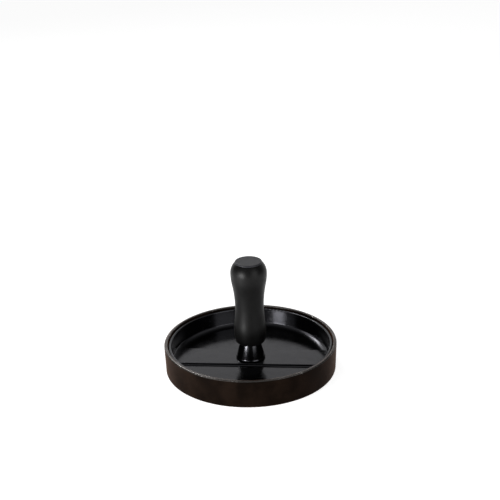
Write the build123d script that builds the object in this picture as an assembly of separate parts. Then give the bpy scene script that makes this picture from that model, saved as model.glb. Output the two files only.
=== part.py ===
from build123d import *
from math import acos, cos, radians, sin, tan
import os

# Burger press: a cast round mould, and a cast plunger with a moulded handle that lifts out of it.
# Millimetres, +Z up. The origin is the centre of the mould's foot, on the table.

# Mould
mould_height = 20.0
mould_rim_radius = 60.0
mould_draft = 1.9
mould_rim_width = 2.3
mould_rim_outer_round = 0.9
mould_rim_inner_round = 0.5
mould_floor_top = 2.4
mould_floor_corner = 2.0
mould_foot_round = 1.2
foot_ring_width = 4.0
foot_recess = 0.5

# Ridges that mark the patty, on the mould's floor and under the plunger plate
ridge_height = 0.8
ridge_pitch = 6.5
ridge_crest = 1.4
ridge_flank_angle = 40.0
ridge_margin = 3.0

# Plunger plate
plate_gap = 0.5
plate_rim_drop = 1.4
plate_rim_width = 1.9
plate_rim_round = 0.6
plate_web = 2.2
plate_foot_round = 1.6
plate_wall_draft = 4.5
floor_sweep_height = 1.7
floor_sweep_radius = 10.0
wall_foot_fillet = 0.8

# Stiffening bar across the plate
bar_width = 22.6
bar_height = 1.4
bar_foot_fillet = 0.9
bar_edge_round = 0.4

# Conical boss that carries the handle
boss_height = 12.4
boss_top_radius = 6.8
boss_taper = 16.0
boss_flare_height = 1.6
boss_foot_radius = 10.2
boss_foot_round = 1.0
spigot_radius = 4.6
spigot_flat = 3.7
spigot_height = 2.0
spigot_gap = 0.15

# Handle
handle_length = 58.8
handle_foot_radius = 9.4
lower_swell_radius = 11.25
lower_swell_height = 8.5
waist_radius = 9.9
waist_height = 26.0
upper_swell_radius = 12.5
upper_swell_height = 51.5
handle_top_radius = 9.6
handle_top_round = 0.4
lower_swell_share = 0.33
upper_swell_share = 0.68
clamped_length = 18.0
bolt_clearance = 0.25
pocket_radius = 6.5
pocket_lead_in = 0.5

# End cap, pushed into the handle's pocket
cap_thickness = 1.2
cap_radius = 9.4
cap_edge_round = 0.8
cap_seam_round = 0.4
cap_skirt_length = 6.0
cap_skirt_wall = 1.4
cap_skirt_gap = 0.1
crush_rib_count = 6
crush_rib_radius = 0.4
crush_rib_bite = 0.05

# Socket head screw, M6
bolt_radius = 3.0
bolt_length = 30.0
bolt_head_radius = 5.0
bolt_head_height = 6.0
bolt_head_chamfer = 0.6
bolt_tip_chamfer = 0.8
hex_across_flats = 5.0
hex_depth = 3.0
thread_gap = 0.03
tapped_hole_spare = 1.5

# Washers
washer_radius = 6.0
washer_hole_radius = 3.2
washer_thickness = 1.6
spring_washer_radius = 5.9
spring_washer_hole_radius = 3.1
spring_washer_thickness = 1.6
spring_washer_split = 1.0
spring_washer_slant = 25.0

# Levels, from the table up
crest_level = mould_floor_top + ridge_height
web_level = crest_level + ridge_height
floor_level = web_level + plate_web
wall_foot_level = floor_level + floor_sweep_height
bar_level = floor_level + bar_height
boss_level = bar_level + boss_height
plate_rim_level = mould_height - plate_rim_drop
pocket_level = boss_level + clamped_length
spring_washer_level = pocket_level + washer_thickness
bolt_seat_level = spring_washer_level + spring_washer_thickness
bolt_tip_level = bolt_seat_level - bolt_length
handle_top_level = boss_level + handle_length

UP = (0, 1)
DOWN = (0, -1)


def mould_wall(level):
    """Outer radius of the mould at a level: the wall leans out towards its rim."""
    return mould_rim_radius - (mould_height - level) * tan(radians(mould_draft))


def plate_wall(level):
    """Outer radius of the plate at a level, parallel to the mould's inner wall."""
    return mould_wall(level) - mould_rim_width - plate_gap


def inner_plate_wall(level):
    """Inner radius of the plate's wall at a level."""
    rim = plate_wall(plate_rim_level) - plate_rim_width
    return rim - (plate_rim_level - level) * tan(radians(plate_wall_draft))


def round_corner(face, corner, radius):
    """The face with the corner nearest to a point rounded."""
    nearest = min(face.vertices(), key=lambda vertex: (Vector(vertex) - Vector(*corner)).length)
    return fillet(nearest, radius)


def turned(face):
    """A solid of revolution about the vertical axis, from a face of radius and height."""
    return revolve(Plane.XZ * face, axis=Axis.Z)


def disc(radius, bottom, top):
    """An upright cylinder between two levels."""
    return Pos(0, 0, bottom) * extrude(Circle(radius), top - bottom)


def ridges(base_level, tip_level):
    """Parallel flat-topped ridges across a round field, from their base to their crests."""
    field = plate_wall(web_level) - plate_foot_round - ridge_margin
    half_crest = ridge_crest / 2
    half_base = half_crest + ridge_height * tan(radians(ridge_flank_angle))
    section = Plane.YZ * make_face(
        Polyline(
            (-half_base, base_level),
            (half_base, base_level),
            (half_crest, tip_level),
            (-half_crest, tip_level),
            close=True,
        )
    )
    ridge = extrude(section, field, both=True)
    rows = int((field - half_base) // ridge_pitch)
    row_set = [Pos(0, row * ridge_pitch, 0) * ridge for row in range(-rows, rows + 1)]
    field_disc = disc(field, min(base_level, tip_level), max(base_level, tip_level))
    return [row & field_disc for row in row_set]


def mould_dish():
    """Cast dish with a leaning wall, a foot ring and a ridged floor."""
    inner_rim = (mould_rim_radius - mould_rim_width, mould_height)
    inner_corner = (mould_wall(mould_floor_top) - mould_rim_width, mould_floor_top)
    outer_rim = (mould_rim_radius, mould_height)
    outer_foot = (mould_wall(0), 0)
    recess = outer_foot[0] - mould_foot_round - foot_ring_width
    section = make_face(
        Polyline(
            (0, foot_recess),
            (recess - foot_recess, foot_recess),
            (recess, 0),
            outer_foot,
            outer_rim,
            inner_rim,
            inner_corner,
            (0, mould_floor_top),
            close=True,
        )
    )
    section = round_corner(section, outer_foot, mould_foot_round)
    section = round_corner(section, outer_rim, mould_rim_outer_round)
    section = round_corner(section, inner_rim, mould_rim_inner_round)
    section = round_corner(section, inner_corner, mould_floor_corner)
    return turned(section) + ridges(mould_floor_top, crest_level)


def plate_shell():
    """The plunger's floor and wall: the floor sweeps up to a small fillet at the wall's foot."""
    outer_foot = (plate_wall(web_level), web_level)
    outer_rim = (plate_wall(plate_rim_level), plate_rim_level)
    inner_rim = (inner_plate_wall(plate_rim_level), plate_rim_level)
    wall_foot = (inner_plate_wall(wall_foot_level), wall_foot_level)
    sweep_angle = acos(1 - floor_sweep_height / floor_sweep_radius)
    sweep_start = (wall_foot[0] - floor_sweep_radius * sin(sweep_angle), floor_level)
    middle = Polyline(sweep_start, (0, floor_level), (0, web_level), outer_foot)
    wall = Polyline(outer_foot, outer_rim, inner_rim, wall_foot)
    sweep = TangentArc(sweep_start, wall_foot, tangent=(1, 0))
    section = make_face(Curve() + [middle, wall, sweep])
    section = round_corner(section, wall_foot, wall_foot_fillet)
    section = round_corner(section, outer_foot, plate_foot_round)
    section = round_corner(section, outer_rim, plate_rim_round)
    section = round_corner(section, inner_rim, plate_rim_round)
    return turned(section)


def stiffening_bar():
    """Flat bar across the plate, with rounded edges and hollow fillets along its foot."""
    half = bar_width / 2
    skirt = half + 2 * bar_foot_fillet
    root_level = floor_level - plate_web / 2
    section = make_face(
        Polyline(
            (-skirt, root_level),
            (skirt, root_level),
            (skirt, floor_level),
            (half, floor_level),
            (half, bar_level),
            (-half, bar_level),
            (-half, floor_level),
            (-skirt, floor_level),
            close=True,
        )
    )
    for side in (-half, half):
        section = round_corner(section, (side, floor_level), bar_foot_fillet)
        section = round_corner(section, (side, bar_level), bar_edge_round)
    reach = (inner_plate_wall(bar_level) + plate_wall(bar_level)) / 2
    return extrude(Plane.YZ * section, reach, both=True) & disc(reach, root_level, bar_level)


def conical_boss():
    """Flared cone on the bar, with a flatted spigot that keys the handle."""
    taper = radians(boss_taper)
    flare_level = bar_level + boss_flare_height
    flare_top = (boss_top_radius + (boss_level - flare_level) * tan(taper), flare_level)
    foot = (boss_foot_radius, bar_level + boss_foot_round)
    heel = (boss_foot_radius - boss_foot_round, bar_level)
    neck = (boss_top_radius, boss_level)
    flare = TangentArc(flare_top, foot, tangent=(sin(taper), -cos(taper)))
    toe = TangentArc(heel, foot, tangent=(1, 0))
    core = Polyline(heel, (heel[0], floor_level), (0, floor_level), (0, boss_level), neck, flare_top)
    cone = turned(make_face(Curve() + [flare, toe, core]))
    return cone + spigot(boss_level, boss_level + spigot_height, 0)


def spigot(bottom, top, gap):
    """Round peg with two flats, or its socket when a gap is given."""
    width = 2 * (spigot_radius + gap)
    flats = Pos(0, 0, (bottom + top) / 2) * Box(width, 2 * (spigot_flat + gap), top - bottom)
    return disc(spigot_radius + gap, bottom, top) & flats


def press_plate():
    """Cast plunger plate with its bar, boss, tapped hole and ridged underside."""
    plate = plate_shell() + stiffening_bar() + conical_boss() + ridges(web_level, crest_level)
    hole = disc(bolt_radius + thread_gap, bolt_tip_level - tapped_hole_spare, boss_level + spigot_height)
    return plate - hole


def swell(lower, upper, share):
    """Two tangent arcs between points where the side is upright; share is where they meet."""
    meeting = tuple(start + (end - start) * share for start, end in zip(lower, upper))
    return [TangentArc(lower, meeting, tangent=UP), TangentArc(upper, meeting, tangent=DOWN)]


def handle_grip():
    """Moulded handle: two swells and a waist, bored for the screw and pocketed for its head."""
    foot = (handle_foot_radius, boss_level)
    lower = (lower_swell_radius, boss_level + lower_swell_height)
    waist = (waist_radius, boss_level + waist_height)
    upper = (upper_swell_radius, boss_level + upper_swell_height)
    shoulder = (handle_top_radius, handle_top_level)
    heel = EllipticalCenterArc(
        (foot[0], lower[1]), lower[0] - foot[0], lower_swell_height, start_angle=270, arc_size=90
    )
    side = swell(lower, waist, lower_swell_share) + swell(waist, upper, upper_swell_share)
    crown = TangentArc(upper, shoulder, tangent=UP)
    core = Polyline(shoulder, (0, handle_top_level), (0, boss_level), foot)
    section = make_face(Curve() + [heel, *side, crown, core])
    grip = turned(round_corner(section, shoulder, handle_top_round))
    grip -= disc(bolt_radius + bolt_clearance, boss_level, pocket_level)
    grip -= spigot(boss_level, boss_level + spigot_height + spigot_gap, spigot_gap)
    pocket = make_face(
        Polyline(
            (0, pocket_level),
            (pocket_radius, pocket_level),
            (pocket_radius, handle_top_level - pocket_lead_in),
            (pocket_radius + pocket_lead_in, handle_top_level),
            (0, handle_top_level),
            close=True,
        )
    )
    return grip - turned(pocket)


def handle_end_cap():
    """Push-in cap: a disc with rounded edges, and a skirt with crush ribs inside the pocket."""
    skirt_radius = pocket_radius - cap_skirt_gap
    skirt_bottom = handle_top_level - cap_skirt_length
    seam_edge = (cap_radius, handle_top_level)
    top_edge = (cap_radius, handle_top_level + cap_thickness)
    section = make_face(
        Polyline(
            (0, handle_top_level),
            (skirt_radius - cap_skirt_wall, handle_top_level),
            (skirt_radius - cap_skirt_wall, skirt_bottom),
            (skirt_radius, skirt_bottom),
            (skirt_radius, handle_top_level),
            seam_edge,
            top_edge,
            (0, top_edge[1]),
            close=True,
        )
    )
    section = round_corner(section, seam_edge, cap_seam_round)
    cap = turned(round_corner(section, top_edge, cap_edge_round))
    rib_centre = pocket_radius + crush_rib_bite - crush_rib_radius
    rib_top = handle_top_level - pocket_lead_in
    rib = Pos(rib_centre, 0, 0) * disc(crush_rib_radius, skirt_bottom + cap_skirt_wall, rib_top)
    return cap + [Rot(0, 0, 360 / crush_rib_count * turn) * rib for turn in range(crush_rib_count)]


def handle_bolt():
    """Socket head screw from the handle's pocket down into the boss."""
    head_top = (bolt_head_radius, bolt_seat_level + bolt_head_height)
    section = make_face(
        Polyline(
            (0, bolt_tip_level),
            (bolt_radius - bolt_tip_chamfer, bolt_tip_level),
            (bolt_radius, bolt_tip_level + bolt_tip_chamfer),
            (bolt_radius, bolt_seat_level),
            (bolt_head_radius, bolt_seat_level),
            (bolt_head_radius, head_top[1] - bolt_head_chamfer),
            (bolt_head_radius - bolt_head_chamfer, head_top[1]),
            (0, head_top[1]),
            close=True,
        )
    )
    socket = RegularPolygon(hex_across_flats / 2, 6, major_radius=False)
    return turned(section) - Pos(0, 0, head_top[1] - hex_depth) * extrude(socket, hex_depth)


def flat_washer():
    """Washer on the floor of the handle's pocket."""
    return disc(washer_radius, pocket_level, spring_washer_level) - disc(
        washer_hole_radius, pocket_level, spring_washer_level
    )


def spring_washer():
    """Split washer, pressed flat, with its slanted gap."""
    ring = disc(spring_washer_radius, spring_washer_level, bolt_seat_level)
    ring -= disc(spring_washer_hole_radius, spring_washer_level, bolt_seat_level)
    middle = (spring_washer_level + bolt_seat_level) / 2
    rim_middle = (spring_washer_radius + spring_washer_hole_radius) / 2
    slot = Box(spring_washer_radius, spring_washer_split, 2 * spring_washer_radius)
    return ring - Pos(rim_middle, 0, middle) * Rot(spring_washer_slant, 0, 0) * slot


PIECES = {
    "mould_dish": mould_dish,
    "press_plate": press_plate,
    "handle_grip": handle_grip,
    "handle_end_cap": handle_end_cap,
    "handle_bolt": handle_bolt,
    "flat_washer": flat_washer,
    "spring_washer": spring_washer,
}

os.makedirs("parts", exist_ok=True)
for name, make in PIECES.items():
    export_step(make(), f"parts/{name}.step")
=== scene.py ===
import math

import bpy
from mathutils import Matrix, Quaternion, Vector


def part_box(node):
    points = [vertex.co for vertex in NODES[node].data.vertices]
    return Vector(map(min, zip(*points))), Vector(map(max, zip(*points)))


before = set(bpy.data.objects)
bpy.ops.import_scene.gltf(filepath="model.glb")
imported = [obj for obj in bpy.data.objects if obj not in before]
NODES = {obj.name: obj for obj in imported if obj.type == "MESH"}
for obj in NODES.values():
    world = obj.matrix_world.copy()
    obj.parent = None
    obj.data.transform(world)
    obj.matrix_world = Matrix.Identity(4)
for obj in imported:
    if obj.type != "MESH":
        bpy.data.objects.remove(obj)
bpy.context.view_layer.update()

# Finishes and stages a burger press: a coated cast mould, a coated plunger plate and its handle.
# Metres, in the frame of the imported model: +Z up, origin under the middle of the mould.

bl_info = {
    "name": "Burger Press Finish",
    "version": (1, 0, 0),
    "blender": (4, 5, 0),
    "location": "View3D > Sidebar > Press",
    "description": "Coats the castings, finishes the handle and sets up a plain studio",
    "category": "Object",
}

MM = 0.001

# Places on the castings near which one finish gives way to another
MOULD_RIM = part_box("mould_dish")[1].z
PLATE_RIM_DROP = 1.4 * MM
PLATE_RIM = MOULD_RIM - PLATE_RIM_DROP
PLATE_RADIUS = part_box("press_plate")[1].x
PLATE_FLOOR = 6.2 * MM

# A colour mix node's own sockets, which come after those for numbers and vectors
MIX_FIRST, MIX_SECOND, MIX_RESULT = 6, 7, 2

# Values between which most of a noise pattern lies
NOISE_SPAN = (0.3, 0.7)

WHITE = (1, 1, 1, 1)

# The point that every lamp faces
LAMP_AIM = Vector((0, 0, 30 * MM))

# The camera's sensor, in millimetres, and how near it sees
SENSOR_WIDTH = 36
NEAREST_SEEN = 10 * MM


class PressFinish(bpy.types.PropertyGroup):
    """Colours and surface grain of the press."""

    coating_colour: bpy.props.FloatVectorProperty(
        name="Coating", description="Dull non-stick coating on the outside of the castings",
        subtype="COLOR", size=3, min=0, max=1, default=(0.0052, 0.0031, 0.0021),
    )
    gloss_colour: bpy.props.FloatVectorProperty(
        name="Gloss", description="What the gloss inside the plunger plate mirrors, seen from above",
        subtype="COLOR", size=3, min=0, max=1, default=(0.041, 0.041, 0.045),
    )
    rim_colour: bpy.props.FloatVectorProperty(
        name="Rim", description="What the mould's rubbed rim mirrors, seen from above",
        subtype="COLOR", size=3, min=0, max=1, default=(0.06, 0.058, 0.056),
    )
    bare_colour: bpy.props.FloatVectorProperty(
        name="Bare casting", description="Aluminium where the rim's coating is chipped",
        subtype="COLOR", size=3, min=0, max=1, default=(0.5, 0.49, 0.47),
    )
    handle_colour: bpy.props.FloatVectorProperty(
        name="Handle", description="Moulded plastic of the handle",
        subtype="COLOR", size=3, min=0, max=1, default=(0.0012, 0.0011, 0.0011),
    )
    cap_colour: bpy.props.FloatVectorProperty(
        name="End cap", description="Moulded plastic of the cap on the handle",
        subtype="COLOR", size=3, min=0, max=1, default=(0.024, 0.024, 0.028),
    )
    steel_colour: bpy.props.FloatVectorProperty(
        name="Screw and washers", description="Zinc plated steel",
        subtype="COLOR", size=3, min=0, max=1, default=(0.58, 0.59, 0.61),
    )
    dull_roughness: bpy.props.FloatProperty(
        name="Dull roughness", description="Roughness of the coating on the outside of the castings",
        subtype="FACTOR", min=0, max=1, default=0.5,
    )
    gloss_roughness: bpy.props.FloatProperty(
        name="Gloss roughness", description="Roughness of the coating inside the plunger plate",
        subtype="FACTOR", min=0, max=1, default=0.17,
    )
    rim_roughness: bpy.props.FloatProperty(
        name="Rim roughness", description="Roughness of the mould's rim",
        subtype="FACTOR", min=0, max=1, default=0.24,
    )
    handle_roughness: bpy.props.FloatProperty(
        name="Handle roughness", description="How matte the handle is",
        subtype="FACTOR", min=0, max=1, default=0.42,
    )
    patch_size: bpy.props.FloatProperty(
        name="Patch size", description="Width of the coating's darker and paler patches",
        subtype="DISTANCE", unit="LENGTH", min=MM, default=14 * MM,
    )
    peel_size: bpy.props.FloatProperty(
        name="Peel size", description="Width of the dimples of the coating's orange peel",
        subtype="DISTANCE", unit="LENGTH", min=0.1 * MM, default=1.1 * MM,
    )
    peel_depth: bpy.props.FloatProperty(
        name="Peel depth", description="Depth of the coating's orange peel",
        subtype="DISTANCE", unit="LENGTH", min=0, default=0.012 * MM,
    )
    chip_size: bpy.props.FloatProperty(
        name="Chip size", description="Width of the chips in the mould's rim",
        subtype="DISTANCE", unit="LENGTH", min=0.1 * MM, default=0.8 * MM,
    )
    skin_size: bpy.props.FloatProperty(
        name="Skin size", description="Width of the grains in the handle's skin",
        subtype="DISTANCE", unit="LENGTH", min=0.1 * MM, default=0.45 * MM,
    )
    skin_depth: bpy.props.FloatProperty(
        name="Skin depth", description="Depth of the grains in the handle's skin",
        subtype="DISTANCE", unit="LENGTH", min=0, default=0.02 * MM,
    )


class PressStudio(bpy.types.PropertyGroup):
    """Camera, floor and backdrop."""

    camera_distance: bpy.props.FloatProperty(
        name="Camera distance", description="From the camera to the point it looks at",
        subtype="DISTANCE", unit="LENGTH", min=0.1, default=0.8,
    )
    camera_elevation: bpy.props.FloatProperty(
        name="Camera elevation", description="Height of the view above the horizon",
        subtype="ANGLE", default=math.radians(22.11),
    )
    camera_turn: bpy.props.FloatProperty(
        name="Camera turn", description="Turn of the view about the press, to the right of the bar",
        subtype="ANGLE", default=math.radians(5.1),
    )
    camera_roll: bpy.props.FloatProperty(
        name="Camera roll", description="Lean of the camera about its own line of sight",
        subtype="ANGLE", default=math.radians(-1.49),
    )
    camera_lens: bpy.props.FloatProperty(
        name="Lens", description="Focal length in millimetres on a 36 mm sensor", min=10, default=85.3,
    )
    aim_side: bpy.props.FloatProperty(
        name="Aim to the side", description="How far right of the press's axis the camera looks",
        subtype="DISTANCE", unit="LENGTH", default=1.37 * MM,
    )
    aim_height: bpy.props.FloatProperty(
        name="Aim height", description="Height of the point that the camera looks at",
        subtype="DISTANCE", unit="LENGTH", default=87.97 * MM,
    )
    ambient_light: bpy.props.FloatProperty(
        name="Ambient light", description="Brightness of the world where it lights the press",
        subtype="FACTOR", min=0, max=1, default=0.38,
    )
    room_light: bpy.props.FloatProperty(
        name="Room", description="Brightness of the room that the press mirrors",
        subtype="FACTOR", min=0, max=1, default=0.06,
    )
    ceiling_light: bpy.props.FloatProperty(
        name="Ceiling", description="Brightness of the ceiling that the press mirrors",
        subtype="FACTOR", min=0, max=1, default=0.5,
    )
    floor_size: bpy.props.FloatProperty(
        name="Floor size", description="Side of the square floor",
        subtype="DISTANCE", unit="LENGTH", min=1, default=8,
    )
    floor_colour: bpy.props.FloatVectorProperty(
        name="Floor", description="Colour of the floor's paper",
        subtype="COLOR", size=3, min=0, max=1, default=(0.65, 0.65, 0.65),
    )
    floor_glow: bpy.props.FloatProperty(
        name="Floor glow", description="Whitening of the floor where it shows, apart from its light",
        subtype="FACTOR", min=0, max=1, default=0.715,
    )


def finish():
    """The finish's settings."""
    return bpy.context.scene.press_finish


def studio():
    """The studio's settings."""
    return bpy.context.scene.press_studio


class Wiring:
    """A node tree, wired one node at a time."""

    def __init__(self, tree):
        self.tree = tree

    def join(self, source, target):
        """Links an output, or sets a plain value, on an input."""
        if isinstance(source, bpy.types.NodeSocket):
            self.tree.links.new(source, target)
        else:
            target.default_value = source

    def ranged(self, value, span, to=(0, 1), smooth=False):
        """Maps a value from one span to another and holds it there; an end may be an output."""
        node = self.tree.nodes.new("ShaderNodeMapRange")
        node.interpolation_type = "SMOOTHSTEP" if smooth else "LINEAR"
        names = ("Value", "From Min", "From Max", "To Min", "To Max")
        for name, source in zip(names, (value, *span, *to)):
            self.join(source, node.inputs[name])
        return node.outputs["Result"]

    def either(self, choice, if_off, if_on):
        """Goes from one value to another as choice goes from 0 to 1."""
        return self.ranged(choice, (0, 1), to=(if_off, if_on))

    def combine(self, operation, *values):
        """Arithmetic on one or two values."""
        node = self.tree.nodes.new("ShaderNodeMath")
        node.operation = operation
        for value, target in zip(values, node.inputs):
            self.join(value, target)
        return node.outputs["Value"]

    def split(self, vector):
        """A vector's three parts."""
        node = self.tree.nodes.new("ShaderNodeSeparateXYZ")
        self.join(vector, node.inputs["Vector"])
        return node.outputs

    def seen_by(self, *kinds):
        """1 for a ray of any of the kinds named, and 0 for the others."""
        path = self.tree.nodes.new("ShaderNodeLightPath")
        seen = path.outputs[kinds[0]]
        for kind in kinds[1:]:
            seen = self.combine("MAXIMUM", seen, path.outputs[kind])
        return seen


class Surface(Wiring):
    """A material, whose patterns stay fixed to the piece."""

    def __init__(self, name):
        self.material = bpy.data.materials.new(name)
        self.material.use_nodes = True
        super().__init__(self.material.node_tree)
        self.shader = self.tree.nodes["Principled BSDF"]

    def place(self):
        """Each point's place on the piece."""
        return self.tree.nodes.new("ShaderNodeTexCoord").outputs["Object"]

    def drive(self, source, name):
        """Puts an output or a plain value on one of the shader's sockets."""
        self.join(source, self.shader.inputs[name])

    def noise(self, size, detail=2, roughness=0.5, squeeze=(1, 1, 1)):
        """Cloudy pattern whose grains are about size across, or as much less as they are squeezed."""
        mapping = self.tree.nodes.new("ShaderNodeMapping")
        mapping.inputs["Scale"].default_value = squeeze
        self.join(self.place(), mapping.inputs["Vector"])
        node = self.tree.nodes.new("ShaderNodeTexNoise")
        self.join(mapping.outputs["Vector"], node.inputs["Vector"])
        node.inputs["Scale"].default_value = 1 / size
        node.inputs["Detail"].default_value = detail
        node.inputs["Roughness"].default_value = roughness
        return node.outputs["Fac"]

    def mix(self, share, first, second):
        """One colour fading into another."""
        node = self.tree.nodes.new("ShaderNodeMix")
        node.data_type = "RGBA"
        self.join(share, node.inputs["Factor"])
        self.join(first, node.inputs[MIX_FIRST])
        self.join(second, node.inputs[MIX_SECOND])
        return node.outputs[MIX_RESULT]

    def bump(self, height, depth, below=None):
        """Relief of a given depth, on top of another if there is one."""
        node = self.tree.nodes.new("ShaderNodeBump")
        node.inputs["Distance"].default_value = depth
        self.join(height, node.inputs["Height"])
        if below is not None:
            self.join(below, node.inputs["Normal"])
        return node.outputs["Normal"]

    def radius_and_height(self):
        """Distance from the press's axis, and height, at each point."""
        x, y, z = self.split(self.place())
        squares = self.combine("ADD", self.combine("MULTIPLY", x, x), self.combine("MULTIPLY", y, y))
        return self.combine("SQRT", squares), z


def shade(colour, factor=1.0):
    """An opaque colour, lighter or darker."""
    return tuple(channel * factor for channel in colour) + (1.0,)


def coating(surface, gloss, gloss_colour, gloss_roughness):
    """Non-stick coating with a faint orange peel, glossy where gloss is 1 and dull where it is 0."""
    settings = finish()
    wave_depth = 0.05 * MM
    smear_size = 5 * MM
    patch_edge = (0.35, 0.65)
    smear_roughness = (-0.02, 0.03)

    cloud = surface.noise(settings.patch_size, detail=3)
    patches = surface.ranged(cloud, patch_edge, smooth=True)
    dark = shade(settings.coating_colour, 0.6)
    pale = shade(settings.coating_colour, 1.5)
    dull = surface.mix(patches, dark, pale)
    surface.drive(surface.mix(gloss, dull, gloss_colour), "Base Color")
    surface.drive(gloss, "Metallic")
    surface.drive(0.015, "Specular IOR Level")

    smears = surface.ranged(surface.noise(smear_size, detail=3), NOISE_SPAN, to=smear_roughness)
    roughness = surface.either(gloss, settings.dull_roughness, gloss_roughness)
    surface.drive(surface.combine("ADD", roughness, smears), "Roughness")

    waves = surface.bump(cloud, wave_depth)
    surface.drive(surface.bump(surface.noise(settings.peel_size), settings.peel_depth, waves), "Normal")
    return surface.material


def plate_coating(name):
    """The plunger plate's coating: glossy inside and on the rim, dull outside and underneath."""
    settings = finish()
    surface = Surface(name)
    radius, height = surface.radius_and_height()
    wall_skin = (PLATE_RADIUS - 1.1 * MM, PLATE_RADIUS - 0.8 * MM)
    rim_round = (PLATE_RIM - 1.2 * MM, PLATE_RIM - 0.6 * MM)
    floor_skin = (PLATE_FLOOR - 1.0 * MM, PLATE_FLOOR - 0.4 * MM)
    below_rim = surface.ranged(height, rim_round, to=(1, 0), smooth=True)
    outside = surface.combine("MULTIPLY", surface.ranged(radius, wall_skin), below_rim)
    above_floor = surface.ranged(height, floor_skin)
    gloss = surface.combine("MINIMUM", above_floor, surface.combine("SUBTRACT", 1, outside))
    return coating(surface, gloss, shade(settings.gloss_colour), settings.gloss_roughness)


def mould_coating(name):
    """The mould's coating: dull, but glossy on its rim, which is chipped to the metal in places."""
    settings = finish()
    surface = Surface(name)
    _, height = surface.radius_and_height()
    rim_round = (MOULD_RIM - 0.8 * MM, MOULD_RIM - 0.1 * MM)
    worn_stretch_size = 9 * MM
    worn_stretch_edge = (0.48, 0.62)
    chip_edge = (0.55, 0.66)
    sheen_tint = (1, 0.42, 0.18, 1)

    worn_stretches = surface.ranged(surface.noise(worn_stretch_size), worn_stretch_edge)
    chips = surface.ranged(surface.noise(settings.chip_size, detail=4, roughness=0.7), chip_edge)
    bare = surface.combine("MULTIPLY", worn_stretches, chips)
    rim = surface.mix(bare, shade(settings.rim_colour), shade(settings.bare_colour))
    surface.drive(0.13, "Sheen Weight")
    surface.drive(0.35, "Sheen Roughness")
    surface.drive(sheen_tint, "Sheen Tint")
    gloss = surface.ranged(height, rim_round, smooth=True)
    return coating(surface, gloss, rim, settings.rim_roughness)


def moulded_plastic(name, colour):
    """Matte moulded plastic with a fine skin."""
    settings = finish()
    surface = Surface(name)
    cloud_size = 7 * MM
    wave_depth = 0.05 * MM
    shinier = settings.handle_roughness - 0.05
    duller = settings.handle_roughness + 0.06

    cloud = surface.noise(cloud_size, detail=3)
    surface.drive(surface.mix(cloud, shade(colour, 0.85), shade(colour, 1.2)), "Base Color")
    surface.drive(surface.ranged(cloud, NOISE_SPAN, to=(shinier, duller)), "Roughness")
    surface.drive(0.18, "Specular IOR Level")
    waves = surface.bump(cloud, wave_depth)
    surface.drive(surface.bump(surface.noise(settings.skin_size), settings.skin_depth, waves), "Normal")
    return surface.material


def zinc_steel(name, colour):
    """Bright zinc on steel, with faint turning marks."""
    surface = Surface(name)
    mark_size = 0.5 * MM
    mark_depth = 0.01 * MM
    along_the_screw = (1, 1, 6)
    mark_span = (0.2, 0.8)
    mark_roughness = (0.24, 0.36)

    marks = surface.noise(mark_size, squeeze=along_the_screw)
    surface.drive(surface.mix(marks, shade(colour, 0.9), shade(colour, 1.05)), "Base Color")
    surface.drive(surface.ranged(marks, mark_span, to=mark_roughness), "Roughness")
    surface.drive(surface.bump(marks, mark_depth), "Normal")
    surface.drive(1, "Metallic")
    return surface.material


def dress(node, material):
    """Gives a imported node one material."""
    for slot in NODES[node].material_slots:
        slot.material = material


class PRESS_OT_mould(bpy.types.Operator):
    """Coat the mould"""

    bl_idname = "press.mould"
    bl_label = "Coat Mould"

    def execute(self, context):
        dress("mould_dish", mould_coating("mould_coating"))
        return {"FINISHED"}


class PRESS_OT_plate(bpy.types.Operator):
    """Coat the plunger plate"""

    bl_idname = "press.plate"
    bl_label = "Coat Plunger Plate"

    def execute(self, context):
        dress("press_plate", plate_coating("plate_coating"))
        return {"FINISHED"}


class PRESS_OT_handle(bpy.types.Operator):
    """Finish the handle and its cap"""

    bl_idname = "press.handle"
    bl_label = "Finish Handle"

    def execute(self, context):
        dress("handle_grip", moulded_plastic("handle_plastic", finish().handle_colour))
        dress("handle_end_cap", moulded_plastic("cap_plastic", finish().cap_colour))
        return {"FINISHED"}


class PRESS_OT_fasteners(bpy.types.Operator):
    """Finish the screw and washers"""

    bl_idname = "press.fasteners"
    bl_label = "Finish Fasteners"

    def execute(self, context):
        steel = zinc_steel("zinc_steel", finish().steel_colour)
        for node in ("handle_bolt", "flat_washer", "spring_washer"):
            dress(node, steel)
        return {"FINISHED"}


def white_world():
    """White where it shows; the press mirrors a white backdrop behind it, a ceiling and a dim room."""
    settings = studio()
    world = bpy.data.worlds.new("plain_white")
    bpy.context.scene.world = world
    world.use_nodes = True
    wiring = Wiring(world.node_tree)
    direction = world.node_tree.nodes.new("ShaderNodeTexCoord").outputs["Generated"]
    _, backward, upward = wiring.split(direction)

    # Where one zone gives way to the next, as the share of a direction that points up or back
    ceiling_edge = (0.60, 0.90)
    backdrop_top = (0.44, 0.56)
    backdrop_side = (0.35, 0.80)
    room_to_ceiling = (settings.room_light, settings.ceiling_light)
    overhead = wiring.ranged(upward, ceiling_edge, to=room_to_ceiling, smooth=True)
    behind = wiring.ranged(upward, backdrop_top, to=(1, overhead), smooth=True)
    around = wiring.ranged(backward, backdrop_side, to=(overhead, behind), smooth=True)

    mirrored = wiring.either(wiring.seen_by("Is Glossy Ray"), settings.ambient_light, around)
    shown = wiring.either(wiring.seen_by("Is Camera Ray", "Is Transmission Ray"), mirrored, 1)
    background = world.node_tree.nodes["Background"]
    wiring.join(WHITE, background.inputs["Color"])
    wiring.join(shown, background.inputs["Strength"])


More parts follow.
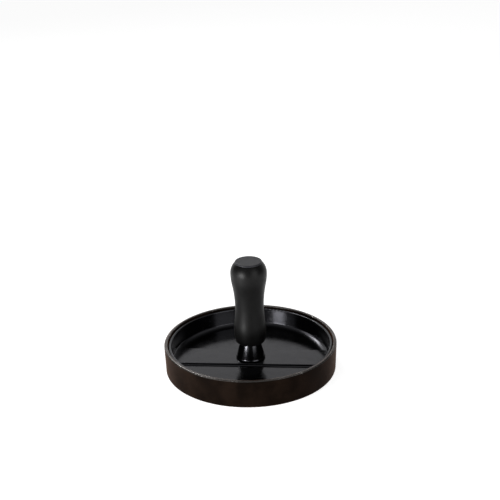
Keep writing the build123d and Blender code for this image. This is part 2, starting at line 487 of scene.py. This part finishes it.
def pale_floor():
    """A pale floor, white where it shows, that keeps the press's shadow."""
    settings = studio()
    bpy.ops.mesh.primitive_plane_add(size=settings.floor_size, location=(0, 0, 0))
    floor = bpy.context.object
    floor.name = "floor"
    paper = Surface("floor_paper")
    paper.drive(shade(settings.floor_colour), "Base Color")
    paper.drive(1, "Roughness")
    paper.drive(0, "Specular IOR Level")
    paper.drive(WHITE, "Emission Color")
    seen = paper.seen_by("Is Camera Ray", "Is Glossy Ray", "Is Transmission Ray")
    paper.drive(paper.either(seen, 0, settings.floor_glow), "Emission Strength")
    floor.data.materials.append(paper.material)


def softbox(name, azimuth, elevation, distance, width, height, brightness, roll=0):
    """A rectangular lamp that faces the press; azimuth is from the camera's side, left negative."""
    turn = studio().camera_turn + math.radians(azimuth)
    rise = math.radians(elevation)
    away = Vector((math.sin(turn) * math.cos(rise), -math.cos(turn) * math.cos(rise), math.sin(rise)))
    lamp = bpy.data.lights.new(name, "AREA")
    lamp.shape = "RECTANGLE"
    lamp.size = width
    lamp.size_y = height
    lamp.energy = brightness * math.pi * width * height
    holder = bpy.data.objects.new(name, lamp)
    bpy.context.scene.collection.objects.link(holder)
    holder.location = LAMP_AIM + away * distance
    facing = away.to_track_quat("Z", "Y") @ Quaternion((0, 0, 1), math.radians(roll))
    holder.rotation_euler = facing.to_euler()


def lamps():
    """A key from the left with a softer one round it, a fill from the right and two from behind."""
    softbox("key_left", azimuth=-46, elevation=6, distance=0.36, width=0.11, height=0.12, brightness=32)
    softbox("key_spill", azimuth=-46, elevation=14, distance=0.38, width=0.36, height=0.22, brightness=1.2)
    softbox("fill_right", azimuth=38, elevation=21, distance=0.40, width=0.24, height=0.30, brightness=2.4)
    softbox(
        "back_left", azimuth=-155, elevation=42, distance=1.0, width=0.50, height=0.16, brightness=2.5,
        roll=33,
    )
    softbox("back_core", azimuth=-160, elevation=41, distance=1.0, width=0.20, height=0.20, brightness=13)


def camera():
    """The photograph's view."""
    settings = studio()
    turn, rise, roll = settings.camera_turn, settings.camera_elevation, settings.camera_roll
    ahead = Vector((-math.sin(turn) * math.cos(rise), math.cos(turn) * math.cos(rise), -math.sin(rise)))
    level = Vector((math.cos(turn), math.sin(turn), 0))
    upright = level.cross(ahead)
    right = level * math.cos(roll) + upright * math.sin(roll)
    up = upright * math.cos(roll) - level * math.sin(roll)
    aim = level * settings.aim_side + Vector((0, 0, settings.aim_height))
    data = bpy.data.cameras.new("camera")
    data.lens = settings.camera_lens
    data.sensor_width = SENSOR_WIDTH
    data.clip_start = NEAREST_SEEN
    holder = bpy.data.objects.new("camera", data)
    bpy.context.scene.collection.objects.link(holder)
    basis = Matrix((right, up, -ahead)).transposed().to_4x4()
    basis.translation = aim - ahead * settings.camera_distance
    holder.matrix_world = basis
    bpy.context.scene.camera = holder


class PRESS_OT_stage(bpy.types.Operator):
    """Set up the backdrop, the floor, the lamps and the camera"""

    bl_idname = "press.stage"
    bl_label = "Set Up Studio"

    def execute(self, context):
        context.scene.view_settings.view_transform = "Standard"
        white_world()
        pale_floor()
        lamps()
        camera()
        return {"FINISHED"}


STEPS = ("mould", "plate", "handle", "fasteners", "stage")


class PRESS_PT_panel(bpy.types.Panel):
    """Sizes, colours and steps of the press"""

    bl_idname = "PRESS_PT_panel"
    bl_label = "Burger Press"
    bl_space_type = "VIEW_3D"
    bl_region_type = "UI"
    bl_category = "Press"

    def draw(self, context):
        for group in (finish(), studio()):
            for name in group.bl_rna.properties.keys():
                if name not in {"rna_type", "name"}:
                    self.layout.prop(group, name)
        for step in STEPS:
            self.layout.operator(f"press.{step}")


CLASSES = (
    PressFinish, PressStudio, PRESS_OT_mould, PRESS_OT_plate, PRESS_OT_handle, PRESS_OT_fasteners,
    PRESS_OT_stage, PRESS_PT_panel,
)


def register():
    """Registers the classes and hangs both groups of settings on the scene."""
    for cls in CLASSES:
        bpy.utils.register_class(cls)
    bpy.types.Scene.press_finish = bpy.props.PointerProperty(type=PressFinish)
    bpy.types.Scene.press_studio = bpy.props.PointerProperty(type=PressStudio)


def unregister():
    """Undoes register."""
    del bpy.types.Scene.press_finish
    del bpy.types.Scene.press_studio
    for cls in reversed(CLASSES):
        bpy.utils.unregister_class(cls)


def main():
    """Runs every step in order."""
    register()
    bpy.ops.object.select_all(action="DESELECT")
    for step in STEPS:
        getattr(bpy.ops.press, step)()


if __name__ == "__main__":
    main()
